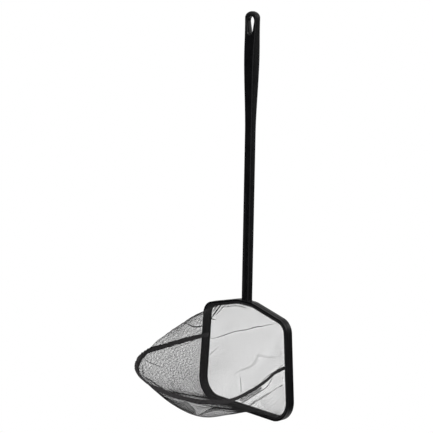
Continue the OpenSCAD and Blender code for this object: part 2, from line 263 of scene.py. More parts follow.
def sweep_round_hoop(section):
    """Points and faces of a section of (s, f) points swept round the hoop."""
    loops = [np.insert(outline(s) + [0, MID_Z], 1, -f, 1) for s, f in section]
    return np.vstack(loops), grid_faces(len(section), len(loops[0]), True, True)


def cut_away(piece, points_mm, faces):
    """Cuts a closed mesh out of the piece."""
    cutter = mesh_object("cutter", points_mm, faces, piece.data.materials[0], None)
    cut = piece.modifiers.new("cut", "BOOLEAN")
    cut.object = cutter
    cut.solver = "EXACT"
    graph = bpy.context.evaluated_depsgraph_get()
    spare = [piece.data, cutter.data]
    result = bpy.data.meshes.new_from_object(piece.evaluated_get(graph))
    piece.modifiers.clear()
    piece.data = result
    bpy.data.objects.remove(cutter)
    for mesh in spare:
        bpy.data.meshes.remove(mesh)


def crisp_edges(piece, degrees):
    """Keeps an edge crisp where smooth faces meet at more than the angle."""
    piece.data.set_sharp_from_angle(angle=math.radians(degrees))


# Materials
def add_node(tree, kind, inputs=(), **settings):
    """A node of that kind, each input set to a value or joined to another node's output."""
    node = tree.nodes.new("ShaderNode" + kind)
    for name, value in settings.items():
        setattr(node, name, value)
    for name, value in dict(inputs).items():
        if isinstance(value, bpy.types.NodeSocket):
            tree.links.new(value, node.inputs[name])
        else:
            node.inputs[name].default_value = value
    return node


def new_material(name, colour, roughness, **sockets):
    """A material with its node tree and its shader."""
    material = bpy.data.materials.new(name)
    material.use_nodes = True
    shader = material.node_tree.nodes["Principled BSDF"]
    shader.inputs["Base Color"].default_value = (*colour, 1)
    shader.inputs["Roughness"].default_value = roughness
    for socket, value in sockets.items():
        shader.inputs[socket.replace("_", " ")].default_value = value
    return material, material.node_tree, shader


def own_place(tree):
    """The place in the object's own frame."""
    return add_node(tree, "TexCoord").outputs["Object"]


def noise(tree, where, scale, detail=3.0):
    return add_node(tree, "TexNoise", {"Scale": scale, "Detail": detail, "Vector": where}
                    ).outputs["Fac"]


def ramp(tree, value, low, high):
    """The value mapped from 0.3..0.7 to the range from low to high."""
    return add_node(tree, "MapRange", {"From Min": 0.3, "From Max": 0.7, "To Min": low,
                                       "To Max": high, "Value": value}).outputs["Result"]


def vary_colour(tree, shader, value, first, second):
    """The shader's colour goes from first to second with the value."""
    mix = add_node(tree, "Mix", {"A": (*first, 1), "B": (*second, 1),
                                 "Factor": ramp(tree, value, 0.0, 1.0)}, data_type="RGBA")
    tree.links.new(mix.outputs["Result"], shader.inputs["Base Color"])


def bump(tree, shader, height, distance, strength):
    node = add_node(tree, "Bump", {"Strength": strength, "Distance": distance, "Height": height})
    tree.links.new(node.outputs["Normal"], shader.inputs["Normal"])


def moulded_plastic(name, colour, light_colour):
    """Black plastic with a fine moulded grain, faint flow marks and rubbed patches."""
    material, tree, shader = new_material(name, colour, 0.36, Specular_IOR_Level=0.13)
    where = own_place(tree)
    patches, marks = noise(tree, where, 55.0), noise(tree, where, 210.0)
    vary_colour(tree, shader, patches, colour, light_colour)
    tree.links.new(ramp(tree, marks, 0.32, 0.4), shader.inputs["Roughness"])
    bump(tree, shader, noise(tree, where, 1400.0, 2.0), 0.00002, 0.5)
    return material


def knitted_yarn(name, colour, light_colour):
    """Black filament yarn, a little lighter where its loops catch the light."""
    material, tree, shader = new_material(name, colour, 0.62, Specular_IOR_Level=0.1)
    loops = noise(tree, own_place(tree), 1600.0, 2.0)
    vary_colour(tree, shader, loops, colour, light_colour)
    bump(tree, shader, loops, 0.00004, 0.6)
    return material


def woven_tape(name, colour, light_colour):
    """Woven binding tape: two sets of ribs that cross, with fuzz over them."""
    material, tree, shader = new_material(
        name, colour, 0.8, Specular_IOR_Level=0.1, Sheen_Weight=0.03, Sheen_Roughness=0.5)
    where = own_place(tree)
    ribs = []
    for turn in (0.7, -0.7):
        turned_place = add_node(tree, "Mapping", {"Rotation": (0.3, turn, 0.5), "Vector": where})
        wave = add_node(tree, "TexWave", {"Scale": 260.0, "Distortion": 1.5, "Detail": 1.0,
                                          "Vector": turned_place.outputs["Vector"]})
        ribs.append(wave.outputs["Fac"])
    cross = add_node(tree, "Math", {0: ribs[0], 1: ribs[1]}, operation="MULTIPLY")
    fuzz = add_node(tree, "Math", {0: cross.outputs["Value"], 1: noise(tree, where, 620.0, 1.0)},
                    operation="ADD").outputs["Value"]
    vary_colour(tree, shader, fuzz, colour, light_colour)
    bump(tree, shader, fuzz, 0.00015, 0.8)
    return material


FRAME_PLASTIC = moulded_plastic(
    "frame_plastic", (0.0018, 0.0018, 0.0021), (0.0036, 0.0036, 0.0041))
# The ring is the frame's black plastic painted lighter: painted light on the hoop's lit inner
# faces.
LIT_RING_PLASTIC = moulded_plastic("ring_plastic", (0.009, 0.009, 0.0098), (0.016, 0.016, 0.017))
NET_YARN = knitted_yarn("net_yarn", (0.006, 0.006, 0.0066), (0.017, 0.0164, 0.0164))
HEM_YARN = knitted_yarn("hem_yarn", (0.01, 0.01, 0.011), (0.03, 0.03, 0.03))
TAPE_CLOTH = woven_tape("binding_tape", (0.001, 0.001, 0.0013), (0.03, 0.028, 0.029))
SEWING_THREAD = knitted_yarn("sewing_thread", (0.014, 0.014, 0.016), (0.04, 0.04, 0.042))


# The hoop
def peg_places():
    """Places (x, z) of the pegs, evenly round the ring."""
    loop = closed_loop(RING_S + RING_W / 2)
    lengths = lengths_along(loop)
    return along(loop, lengths, lengths[-1] * (np.arange(PEG_COUNT) + 0.5) / PEG_COUNT)


def turned(places, section, sides=20):
    """Round bodies on axes along Y: section lists (radius, f) from one end to the other."""
    angles = round_angles(sides)
    return joined([
        ([[x + radius * math.cos(a), -f, z + MID_Z + radius * math.sin(a)]
          for radius, f in section for a in angles], tube_faces(len(section), sides))
        for x, z in places])


def make_hoop():
    section = rounded([
        (0, FRONT_F, 0.55),
        (0, LINE_FRONT_F + 0.1, 0.12),
        (LINE_DEPTH, LINE_FRONT_F - 0.15, 0.12),
        (LINE_DEPTH, LINE_BACK_F + 0.15, 0.12),
        (0, LINE_BACK_F - 0.1, 0.12),
        (0, -FRONT_F, 0.55),
        (BAR_W, -FRONT_F, 0.5),
        (BAR_W, FLANGE_F, 0.4),
        (WALL_T, FLANGE_F, 0.15),
        (WALL_T, FRONT_F, 0.4),
    ])
    hoop = mesh_object("hoop", *sweep_round_hoop(section), FRAME_PLASTIC, FRAME_BODY)
    holes = [(PEG_HOLE_R, PEG_TIP_F - 0.1), (PEG_HOLE_R, FLANGE_F + 0.5)]
    cut_away(hoop, *turned(peg_places(), holes))
    crisp_edges(hoop, 50)
    return stands_for(hoop, "hoop_frame")


def make_ring():
    section = rounded([
        (RING_S, RING_FRONT_F, 0.55),
        (RING_S, RING_BACK_F, 0.2),
        (RING_S + RING_W, RING_BACK_F, 0.35),
        (RING_S + RING_W, RING_FRONT_F, 0.7),
    ])
    peg = [(PEG_R * 0.6, PEG_TIP_F), (PEG_R * 0.9, PEG_TIP_F + 0.2), (PEG_R, PEG_TIP_F + 0.5),
           (PEG_R, RING_BACK_F + PEG_R)]
    points, faces = joined([sweep_round_hoop(section), turned(peg_places(), peg)])
    ring = mesh_object("clamping_ring", points, faces, LIT_RING_PLASTIC, NET_BODY)
    crisp_edges(ring, 50)
    return stands_for(ring, "retaining_ring")


# The handle
def ease(x):
    """Smooth step from 0 to 1."""
    return (1 - np.cos(math.pi * np.clip(x, 0, 1))) / 2


def handle_size(z):
    """Width and depth of the handle at height z."""
    share = (z - (TIP_Z - GRIP_LEN)) / GRIP_LEN
    dome = 1 - DOME_H / GRIP_LEN
    if share <= 0:
        foot = min(z - HOOP_TOP_Z, FOOT_R)
        spread = 2 * (FOOT_R - math.sqrt(max(FOOT_R**2 - (FOOT_R - foot) ** 2, 0)))
        return SHAFT_W + spread, SHAFT_D + spread
    if share > dome:
        up = min((share - dome) / (1 - dome), 1)
        return HEAD_W * math.sqrt(max(1 - up**2, 0)), HEAD_D * (1 - 0.5 * up**3)
    width = SHAFT_W + (HEAD_W - SHAFT_W) * (share / dome) ** GRIP_FLARE
    if share < GRIP_FATTEST:
        return width, SHAFT_D + (GRIP_D - SHAFT_D) * ease(share / GRIP_FATTEST)
    thinner = ease((share - GRIP_FATTEST) / (dome - GRIP_FATTEST))
    return width, HEAD_D + (GRIP_D - HEAD_D) * (1 - thinner)


def handle_row(z):
    """Points round the handle's section at height z, the same number at every height."""
    width, depth = handle_size(z)
    radius = min(EDGE_R, width / 3, depth / 3)
    side = width / 2 - radius
    fade = ease((z - FLUTE_LOW_Z) / FLUTE_FADES[0]) * ease((FLUTE_TOP_Z - z) / FLUTE_FADES[1])
    flute_half = min(FLUTE_W / 2, side)
    xs = np.append(flute_half * np.linspace(0, 1, 7), side)
    dish = FLUTE_DEPTH * fade * np.clip(1 - (xs / (FLUTE_W / 2)) ** 2, 0, None)
    front = [(x, -depth / 2 + d) for x, d in zip(xs, dish)]
    quarter = np.linspace(0, math.pi / 2, 6)[1:-1]
    right = [(side + radius * math.sin(a), -depth / 2 + radius - radius * math.cos(a))
             for a in quarter]
    wall = [(width / 2, y) for y in np.linspace(-1, 0, 3) * (depth / 2 - radius)]
    quadrant = front + right + wall
    half = quadrant + [(x, -y) for x, y in reversed(quadrant[:-1])]
    mirrored = [(-x, y) for x, y in reversed(half[1:-1])]
    return [(x, y, z) for x, y in half + mirrored]


def slot_loop(grow):
    """Outline of the hanging slot grown by that much, anticlockwise in X and Z."""
    top, low = SLOT_TOP_R + grow, SLOT_END_R + grow
    lean = math.asin((SLOT_TOP_R - SLOT_END_R) / SLOT_RUN)
    upper = np.linspace(-lean, math.pi + lean, SLOT_STEPS)
    lower = np.linspace(math.pi + lean, 2 * math.pi - lean, SLOT_STEPS)
    return np.array([(top * math.cos(a), top * math.sin(a)) for a in upper]
                    + [(low * math.cos(a), low * math.sin(a) - SLOT_RUN) for a in lower])


def slot_cutter():
    """The slot's throat and its two bevels, with softened edges."""
    face = HEAD_D / 2
    levels = [(face + 2.5, SLOT_RIM + 2.6), (face + 0.25, SLOT_RIM + 0.45),
              (face - 0.15, SLOT_RIM * 0.8), (SLOT_THROAT / 2 + 0.35, SLOT_RIM * 0.2),
              (SLOT_THROAT / 2 - 0.2, 0.03), (SLOT_THROAT / 2 - 0.8, 0)]
    levels = [(-y, g) for y, g in levels] + [(y, g) for y, g in reversed(levels)]
    loops = [[(x, y, z) for x, z in slot_loop(g)] for y, g in levels]
    return np.vstack(loops), tube_faces(len(loops), len(loops[0]), flip=True)


def gusset(x, side):
    """Points and faces of the small rib between the shaft's face and the bridge."""
    y = side * (SHAFT_D / 2 - 0.2)
    low, out, half = HOOP_TOP_Z - 0.2, side * GUSSET_OUT, GUSSET_HALF
    high = low + GUSSET_H
    outline_yz = [(y, low), (y + out, low), (y + out, low + 0.5), (y + out * 0.55, low + 1.9),
                  (y + out * 0.3, high - 0.4), (y, high)]
    levels = [(-half, 0.12), (-half + 0.18, 0), (half - 0.18, 0), (half, 0.12)]
    points = [(x + dx, a - side * inset, b - inset) for dx, inset in levels for a, b in outline_yz]
    return points, tube_faces(len(levels), len(outline_yz), flip=side > 0)


def make_handle():
    dome_z = TIP_Z - DOME_H
    # Heights of the sections, closer together where the shape turns
    heights = np.concatenate([
        HOOP_TOP_Z + FOOT_R * (1 - np.cos(np.linspace(0, math.pi / 2, 7))),
        np.linspace(HOOP_TOP_Z + 2.5, HOOP_TOP_Z + 12, 12),
        np.linspace(HOOP_TOP_Z + 16, FLUTE_TOP_Z - 12, 16),
        np.linspace(FLUTE_TOP_Z - 10, FLUTE_TOP_Z, 10),
        np.linspace(FLUTE_TOP_Z + 6, TIP_Z - GRIP_LEN - 1, 8),
        np.linspace(TIP_Z - GRIP_LEN, dome_z, 70)[:-1],
        dome_z + DOME_H * np.sin(np.linspace(0, math.pi / 2, 20)) * 0.9995,
    ])
    rows = [handle_row(z) for z in heights]
    parts = [(np.vstack(rows), tube_faces(len(rows), len(rows[0]), flip=True))]
    parts += [gusset(x, side) for x in (-GUSSET_X, GUSSET_X) for side in (-1, 1)]
    piece = mesh_object("handle_moulding", *joined(parts), FRAME_PLASTIC, FRAME_BODY)
    cut_away(piece, *slot_cutter())
    crisp_edges(piece, 40)
    return stands_for(piece, "handle")


# The bag's curves: the mouth that its panels leave, and the seam where they meet
ARC_STEPS = 12
MOUTH = closed_loop(PANEL_S + 0.2, ARC_STEPS)
MOUTH_LENGTHS = lengths_along(MOUTH)
# The points of MOUTH where its right side bar and its left one start
RIGHT_LOW = ARC_STEPS + 1
LEFT_HIGH = 5 * (ARC_STEPS + 1)


def mouth_length_at(i, z):
    """Length along the mouth where the side bar that starts at point i is at height z."""
    share = (z - MOUTH[i, 1]) / (MOUTH[i + 1, 1] - MOUTH[i, 1])
    return MOUTH_LENGTHS[i] + share * (MOUTH_LENGTHS[i + 1] - MOUTH_LENGTHS[i])


def mouth_points(upper, t):
    """Points of a panel's rim at shares t of its length, from its right end to its left."""
    side = 1 if upper else -1
    total = MOUTH_LENGTHS[-1]
    start = mouth_length_at(RIGHT_LOW, SEAM_RIGHT_Z + side * TAPE_W / 2)
    end = mouth_length_at(LEFT_HIGH, SEAM_LEFT_Z + side * TAPE_W / 2) - (0 if upper else total)
    p = along(MOUTH, MOUTH_LENGTHS, (start + (end - start) * t) % total)
    return np.insert(p, 1, -RING_FRONT_F, 1)


# Route of the seam from the right side bar to the left one. The columns are shares of
# the mouth's half width at mid height, of the bag's depth and of the side bars' height.
SEAM_SHARES = [
    (0.980, 0.14, 0.035), (0.980, 0.28, -0.037), (0.982, 0.49, -0.101),
    (0.985, 0.68, -0.128), (0.950, 0.83, -0.107), (0.765, 0.945, -0.092),
    (0.415, 0.996, -0.084), (0.115, 1, -0.083), (-0.257, 0.988, -0.079),
    (-0.612, 0.948, -0.048), (-0.826, 0.901, 0), (-0.933, 0.822, 0.066),
    (-0.972, 0.695, 0.123), (-0.980, 0.47, 0.137), (-0.980, 0.24, 0.154),
]
MOUTH_HALF = (SHOULDER_W + BOTTOM_W) / 4 - PANEL_S


def side_x(z):
    """Half width of the mouth at height z."""
    return MOUTH_HALF - (BOTTOM_W - SHOULDER_W) / 2 * z / SIDE_H


def smooth_curve(route, steps=12):
    """A smooth curve through the route's points."""
    points = []
    last = len(route) - 1
    for i in range(last):
        p0, p1, p2, p3 = (route[min(max(k, 0), last)] for k in (i - 1, i, i + 1, i + 2))
        for u in np.arange(steps) / steps:
            points.append((2 * p1 + (p2 - p0) * u + (2 * p0 - 5 * p1 + 4 * p2 - p3) * u**2
                           + (3 * p1 - p0 - 3 * p2 + p3) * u**3) / 2)
    return np.array(points + [route[last]])


SEAM = smooth_curve(np.array(
    [(side_x(SEAM_RIGHT_Z) - 0.8, -SEAM_START_F, SEAM_RIGHT_Z)]
    + [(x * MOUTH_HALF, -y * BAG_DEPTH, z * SIDE_H) for x, y, z in SEAM_SHARES]
    + [(-side_x(SEAM_LEFT_Z) + 0.8, -SEAM_START_F, SEAM_LEFT_Z)]
))
SEAM_LENGTHS = lengths_along(SEAM)


def seam_points(t):
    """Points at shares t of the seam's length."""
    return along(SEAM, SEAM_LENGTHS, t * SEAM_LENGTHS[-1])


def seam_frame(t):
    """Headings along the seam, and the directions across the tape and out of the bag."""
    heading = unit(seam_points(t + 0.01) - seam_points(t - 0.01))
    up = unit(np.array([0, 0, 1]) - heading * heading[:, 2:3])
    return heading, up, np.cross(up, heading)


def swell(t, v, at, spread):
    """A smooth hump round the share at, which ends at the mouth and the seam."""
    across = np.sin(math.pi * np.clip(t, 0, 1)) ** 0.8
    return across * np.sin(math.pi * v) * np.exp(-(((t - at) / spread) ** 2))


def bulge(upper, t, v):
    """Height of a panel's surface above the straight line from the mouth to the seam."""
    if upper:
        return (UPPER_RISE * swell(t, v**1.4, 0.72, 0.18) - UPPER_DIP * swell(t, v, 0.45, 0.18)
                + UPPER_SHOULDER * swell(t, v**0.5, 0.7, 0.12) * (1 - v) ** 2)
    return -LOWER_PUSH * swell(t, v**1.1, 0.67, 0.07) - LOWER_SAG * swell(t, v**3.5, 0.4, 0.205)


# Folds of each panel: places along the fold, in thousandths of the rim's length (t) and of the
# way to the seam (v); to each side of it, how many millimetres of mesh are drawn in, to what
# share of their width, and how far out the mesh follows; how high the fold stands; and how many
# threads are caught in it, over what width
UPPER_FOLDS = [
    # Long crease across the side wall, from the shoulder back
    ([(260, 4), (283, 35), (313, 69), (331, 96), (368, 124), (388, 162), (434, 217), (474, 284),
      (497, 320), (508, 345), (515, 363), (532, 382), (550, 400)], 1.5, 0.3, 6, 0.6, 9, 0.8),
    ([(313, 69), (331, 96), (368, 122), (387, 150)], 0.9, 0.4, 3, 0.3, 5, 0.8),
    # Bunched folds behind the left shoulder
    ([(612, 248), (625, 215), (641, 165), (660, 107), (675, 60), (690, 15)], 2.2, 0.3, 6, 1,
      34, 2),
    ([(650, 194), (670, 140), (697, 75), (710, 30)], 1.5, 0.3, 4, 0.7, 8, 1),
    ([(615, 214), (624, 163), (639, 95), (650, 30)], 1.3, 0.3, 4, 0.5, 6, 0.9),
    ([(618, 252), (605, 243), (590, 232)], 1.2, 0.4, 3, 0.5, 14, 1.2),
    # Arc under the bridge
    ([(650, 95), (626, 72), (595, 47), (562, 24), (526, 17), (490, 22)], 1.8, 0.3, 5, 0.6, 6,
      0.9),
    # Short and soft creases of the side wall
    ([(466, 520), (467, 469), (464, 410)], 1.3, 0.5, 4, 0.4, 1, 0.3),
    ([(265, 680), (261, 701), (242, 772), (209, 920)], 1.2, 0.4, 4, 0.4, 4, 0.4),
    ([(112, 98), (92, 159), (120, 284), (166, 364), (210, 399), (244, 397), (248, 418), (241, 469),
      (243, 529), (264, 560), (286, 592), (299, 629), (299, 660), (281, 683)], 2.4, 0.62, 9, 0.8,
      0, 0),
    # Lines beside the tape's near end
    ([(114, 930), (110, 897), (99, 815), (80, 772), (49, 778), (33, 605), (21, 254)], 1.4, 0.35,
      4, 0.4, 3, 0.6),
    # Second line beside the tape at the far corner, and the arc above it
    ([(630, 985), (600, 978), (573, 968), (542, 968), (509, 978), (480, 990)], 1.2, 0.5, 3, 0.2,
      16, 1.5),
    ([(700, 945), (693, 935), (665, 902), (644, 886), (624, 867), (599, 847), (570, 827)], 1.6,
      0.3, 5, 0.7, 5, 0.7),
    ([(660, 940), (636, 955), (614, 972)], 2, 0.6, 6, 0.5, 5, 2),
    # Creases over the tape's far run
    ([(617, 685), (603, 628), (593, 577), (586, 523), (579, 480)], 1.2, 0.35, 4, 0.4, 3, 0.5),
    ([(740, 395), (713, 327), (692, 273), (680, 235)], 1.9, 0.3, 5, 0.7, 14, 1.4),
    ([(720, 468), (709, 461), (668, 421), (648, 409), (631, 386), (617, 355), (600, 320)], 2.2,
      0.3, 5, 0.8, 7, 1.2),
    ([(660, 416), (648, 409), (631, 386), (617, 355), (600, 320)], 0.9, 0.4, 3, 0.3, 20, 1.8),
    # Creases at the lower left, beside the hoop
    ([(456, 902), (430, 938), (402, 973), (389, 988)], 1.3, 0.35, 4, 0.4, 3, 0.5),
    ([(488, 860), (479, 914), (456, 943)], 1.3, 0.5, 4, 0.4, 1, 0.4),
    ([(465, 820), (467, 767), (471, 710)], 1.3, 0.5, 4, 0.4, 1, 0.4),
    ([(353, 870), (348, 928), (339, 980)], 1.4, 0.35, 4, 0.4, 4, 0.7),
    ([(368, 900), (360, 960)], 1.2, 0.4, 3.5, 0.4, 2, 0.5),
]
LOWER_FOLDS = [
    # Mesh stretched where the bag hangs from the bottom bar
    ([(220, 880), (245, 830), (290, 620), (335, 420), (380, 200)], 16, 1.9, 80, 0, 0, 0),
    # Second line under the tape's near run
    ([(50, 940), (54, 922), (72, 837), (93, 777), (108, 775), (130, 833), (154, 874), (179, 896),
      (202, 908), (220, 930)], 1.6, 0.3, 4, 0.5, 7, 0.9),
    # Two long folds under the hoop's lower left corner
    ([(400, 820), (403, 783), (407, 717), (408, 673), (410, 626), (413, 561), (423, 479)], 1,
      0.5, 4, 0.2, 7, 0.8),
    ([(402, 750), (403, 728), (397, 679), (388, 630), (379, 543), (386, 470)], 0.8, 0.5, 3, 0.2,
      5, 0.7),
    # Folds from the tape down towards the lowest point
    ([(519, 630), (490, 657), (461, 679), (430, 715)], 1.5, 0.35, 4, 0.5, 5, 0.6),
    ([(500, 645), (471, 624), (444, 598), (415, 573)], 1.2, 0.4, 4, 0.4, 2, 0.4),
]
# Pleats of the lower panel: the outline of each place where the mesh lies in more layers, in
# thousandths, and how many more
LOWER_PLEATS = [
    # Between the tape's near run and the second line under it
    ([(216, 984), (193, 990), (162, 993), (132, 983), (109, 944), (114, 851), (129, 840),
      (153, 880), (178, 901), (203, 914)], 3),
    # Between the two long folds
    ([(401, 775), (407, 715), (410, 625), (426, 461), (405, 440), (386, 470), (377, 549),
      (387, 634), (399, 713)], 1),
    # Under the tape's lower left run
    ([(570, 830), (556, 784), (538, 724), (518, 637), (490, 657), (436, 707), (408, 787),
      (449, 781), (485, 794), (519, 815), (545, 842)], 1),
]
RULINGS = 361
# Depth of the cloth between the ring's front face and the hem
RIM_DEPTH = RING_FRONT_F - RING_BACK_F + 0.4
# How far the limp cloth stands out of its even surface
SWAY = 0.9
# How the threads of a pleat's first layer are turned from the panel's, how much further each
# next layer is turned, and how far apart the layers lie
PLEAT_TURNS = (0.75, 0.3)
PLEAT_LIFT = 0.2


def third_corner(a, b, to_a, to_b):
    """The corner left of the line from a to b, at those distances from them."""
    base = b - a
    length = np.linalg.norm(base)
    x = (to_a**2 - to_b**2 + length**2) / (2 * length)
    y = math.sqrt(max(to_a**2 - x**2, 0))
    ahead = base / length
    return a + ahead * x + left_of(ahead) * y


def ruled(mouth, seam, shares, t, v):
    """Points at share v of the way from one curve to the other, at shares t of their length."""
    m, s = along(mouth, shares, t), along(seam, shares, t)
    return m + (s - m) * np.asarray(v)[:, None]


def laid_flat(mouth, seam):
    """The two ends of each ruling when the strips between them are laid flat in turn."""
    def gap(a, b):
        return np.linalg.norm(a - b)

    flat = [(np.zeros(2), np.array([0, -gap(mouth[0], seam[0])]))]
    for k in range(len(mouth) - 1):
        m0, s0 = flat[-1]
        s1 = third_corner(m0, s0, gap(mouth[k], seam[k + 1]), gap(seam[k], seam[k + 1]))
        m1 = third_corner(m0, s1, gap(mouth[k], mouth[k + 1]), gap(mouth[k + 1], seam[k + 1]))
        flat.append((m1, s1))
    return np.array([m for m, s in flat]), np.array([s for m, s in flat])


class Panel:
    """A mesh panel: straight rulings from the mouth to the seam, and the same laid flat."""

    def __init__(self, upper):
        self.upper = upper
        self.t = np.linspace(0, 1, RULINGS)
        self.mouth = mouth_points(upper, self.t)
        self.seam = seam_points(self.t)
        self.flat_mouth, self.flat_seam = laid_flat(self.mouth, self.seam)

    def flat_at(self, t, v):
        return ruled(self.flat_mouth, self.flat_seam, self.t, t, v)

    def place(self, t, v):
        p = ruled(self.mouth, self.seam, self.t, t, v)
        p[:, 2] += bulge(self.upper, t, np.clip(v, 0, 1))
        return p

    def cut_area(self):
        """Flat area of the cloth, from the hem to the seam."""
        loop = np.vstack([self.flat_mouth, self.flat_seam[::-1]])
        x, y = loop.T
        rim = lengths_along(self.mouth)[-1] * RIM_DEPTH
        return abs(np.sum(x * np.roll(y, -1) - y * np.roll(x, -1))) / 2 + rim

    def cut_size(self):
        """Width and length of the rectangle that the flat cloth is cut from."""
        ahead = unit(self.flat_seam[RULINGS // 2] - self.flat_mouth[RULINGS // 2])
        corners = np.vstack([self.flat_mouth, self.flat_seam])
        return np.ptp(corners @ left_of(ahead)), np.ptp(corners @ ahead) + RIM_DEPTH

    def find(self, flat):
        """The shares t and v at each flat point; not a number where it is off the panel."""
        t, v = np.full((2, len(flat)), np.nan)
        for k in range(RULINGS - 1):
            edges = [(self.flat_mouth[q], self.flat_seam[q]) for q in (k, k + 1)]
            off = [(flat - m) @ left_of(unit(s - m)) for m, s in edges]
            between = (off[0] >= 0) & (off[1] < 0)
            u = off[0][between] / (off[0] - off[1])[between]
            m, s = (a + np.outer(u, b - a) for a, b in zip(*edges))
            run = s - m
            share = np.sum((flat[between] - m) * run, 1) / np.sum(run**2, 1)
            inside = (share >= -0.002) & (share <= 1)
            where = np.flatnonzero(between)[inside]
            t[where] = (k + u[inside]) / (RULINGS - 1)
            v[where] = share[inside]
        return t, v

    def normals(self, t, v):
        """Unit normals on the outer side."""
        step = 0.004
        a = self.place(np.clip(t + step, 0, 1), v) - self.place(np.clip(t - step, 0, 1), v)
        b = self.place(t, np.clip(v + step, 0, 1)) - self.place(t, np.clip(v - step, 0, 1))
        n = unit(np.cross(a, b))
        return n if self.upper else -n


def distance_to_line(points, line):
    """Nearest point on the polyline for each point, and its share of the line's length."""
    lengths = lengths_along(line)
    best = np.full(len(points), np.inf)
    nearest = np.zeros((len(points), 2))
    share = np.zeros(len(points))
    for k in range(len(line) - 1):
        run = line[k + 1] - line[k]
        u = np.clip((points - line[k]) @ run / (run @ run), 0, 1)
        q = line[k] + np.outer(u, run)
        d = np.linalg.norm(points - q, axis=1)
        closer = d < best
        best[closer], nearest[closer] = d[closer], q[closer]
        share[closer] = (lengths[k] + u[closer] * np.linalg.norm(run)) / lengths[-1]
    return best, nearest, share


def ripple(flat, seed, waves=10, shortest=14.0, longest=60.0):
    """Smooth unevenness from -1 to 1 over the flat cloth."""
    rng = np.random.default_rng(seed)
    total = np.zeros(len(flat))
    weight = 0
    for _ in range(waves):
        wave = rng.uniform(shortest, longest)
        angle, phase = rng.uniform(0, 2 * math.pi, 2)
        way = flat @ [math.cos(angle), math.sin(angle)]
        total += wave * np.sin(2 * math.pi * way / wave + phase)
        weight += wave
    return total / weight * 2


def knotted_threads(points, present, normals, radius=THREAD_R, axes=(0, 1)):
    """Open three-sided tubes along those directions of a grid of points, where present."""
    verts, faces = [], []
    base = 0
    for axis in axes:
        p, here, n = (a.swapaxes(0, axis) for a in (points, present, normals))
        knotted = here[:-1] & here[1:]
        used = np.zeros_like(here)
        used[:-1] |= knotted
        used[1:] |= knotted
        ahead = np.zeros_like(p)
        step = np.where(knotted[..., None], p[1:] - p[:-1], 0)
        ahead[:-1] += step
        ahead[1:] += step
        ahead = unit(ahead)
        across = unit(np.cross(ahead, n))
        out = np.cross(across, ahead)
        index = np.full(here.shape, -1)
        index[used] = np.arange(used.sum()) * 3 + base
        angles = 2 * math.pi * (np.arange(3) + 0.25) / 3
        corners = [p + radius * (math.cos(a) * across + math.sin(a) * out) for a in angles]
        verts.append(np.stack([c[used] for c in corners], 1).reshape(-1, 3))
        low, high = index[:-1][knotted], index[1:][knotted]
        for k in range(3):
            k1 = (k + 1) % 3
            faces.append(np.stack([low + k, high + k, high + k1, low + k1], 1))
        base += 3 * int(used.sum())
    return np.vstack(verts), np.vstack(faces)


def laid_on(panel, flat, shape, lift):
    """A grid of flat points laid on the panel's surface and raised by lift: the places, which
    of them are on the panel, the directions out, and their shares t and v."""
    t, v = panel.find(flat)
    present = ~np.isnan(t)
    t, v = np.where(present, t, 0.5), np.where(present, v, 0.5)
    normals = panel.normals(t, v)
    edge = np.clip(np.minimum(v, 1 - v) * 12, 0, 1) * np.clip(np.minimum(t, 1 - t) * 25, 0, 1)
    points = panel.place(t, v) + normals * (lift * edge)[:, None]
    return (points.reshape(*shape, 3), present.reshape(shape), normals.reshape(*shape, 3),
            t.reshape(shape), v.reshape(shape))


def lattice(corners, turn):
    """Knots over those flat corners, with threads along and across the direction turn."""
    first = np.array([math.cos(turn), math.sin(turn)])
    second = left_of(first)
    spans = [np.arange(math.floor((corners @ d).min() / THREAD_PITCH),
                       math.ceil((corners @ d).max() / THREAD_PITCH) + 1) * THREAD_PITCH
             for d in (first, second)]
    i, j = np.meshgrid(*spans, indexing="ij")
    return (i[..., None] * first + j[..., None] * second).reshape(-1, 2), i.shape


def mesh_angle(panel):
    """Direction of the threads on the flat cloth, which is cut on the bias."""
    middle = panel.flat_seam[RULINGS // 2] - panel.flat_mouth[RULINGS // 2]
    return math.atan2(middle[1], middle[0]) + math.pi / 4


def smooth_path(panel, line):
    """The line's places, in thousandths, as a smooth path on the flat cloth."""
    path = panel.flat_at(*(np.array(line) / 1000).T)
    for _ in range(2):
        a, b = path[:-1], path[1:]
        cut = np.stack([a * 0.75 + b * 0.25, a * 0.25 + b * 0.75], 1).reshape(-1, 2)
        path = np.vstack([path[:1], cut[1:-1], path[-1:]])
    return path


def threads_over(panel, folds, seed):
    """The knotted threads of a panel between the mouth and the seam."""
    corners = np.vstack([panel.flat_mouth, panel.flat_seam])
    flat, shape = lattice(corners, mesh_angle(panel))
    # The threads wander more in the far and left parts of the bag
    t, v = panel.find(flat)
    loose = (v - 1 + 2.6 * (t - 0.34)) / 0.15 if panel.upper else (t - 0.58) / 0.05
    loose = np.clip(np.nan_to_num(loose), 0, 1)
    lift = SWAY * ripple(flat, seed) + (0.1 + 0.3 * loose) * ripple(flat, seed + 1, 24, 5.0, 13.0)
    flat = flat + (0.05 + 1.6 * loose)[:, None] * np.column_stack(
        [ripple(flat, seed + 2, 40, 2.6, 5.5), ripple(flat, seed + 3, 40, 2.6, 5.5)])
    for line, tuck, squeeze, reach, height, threads, spread in folds:
        far, nearest, share = distance_to_line(flat, smooth_path(panel, line))
        width = np.minimum(tuck * np.sin(math.pi * np.clip(share, 0.001, 0.999)) ** 0.5, reach / 2)
        drawn_in = np.where(far < width, far * squeeze,
                            width * squeeze + (far - width) / (reach - width)
                            * (reach - width * squeeze))
        drawn_in = np.where(far < reach, drawn_in, far)
        flat = nearest + (flat - nearest) * (drawn_in / np.maximum(far, 1e-6))[:, None]
        lift += height * (width / tuck) * np.clip(1 - drawn_in / reach, 0, 1) ** 3
    return knotted_threads(*laid_on(panel, flat, shape, lift)[:3])


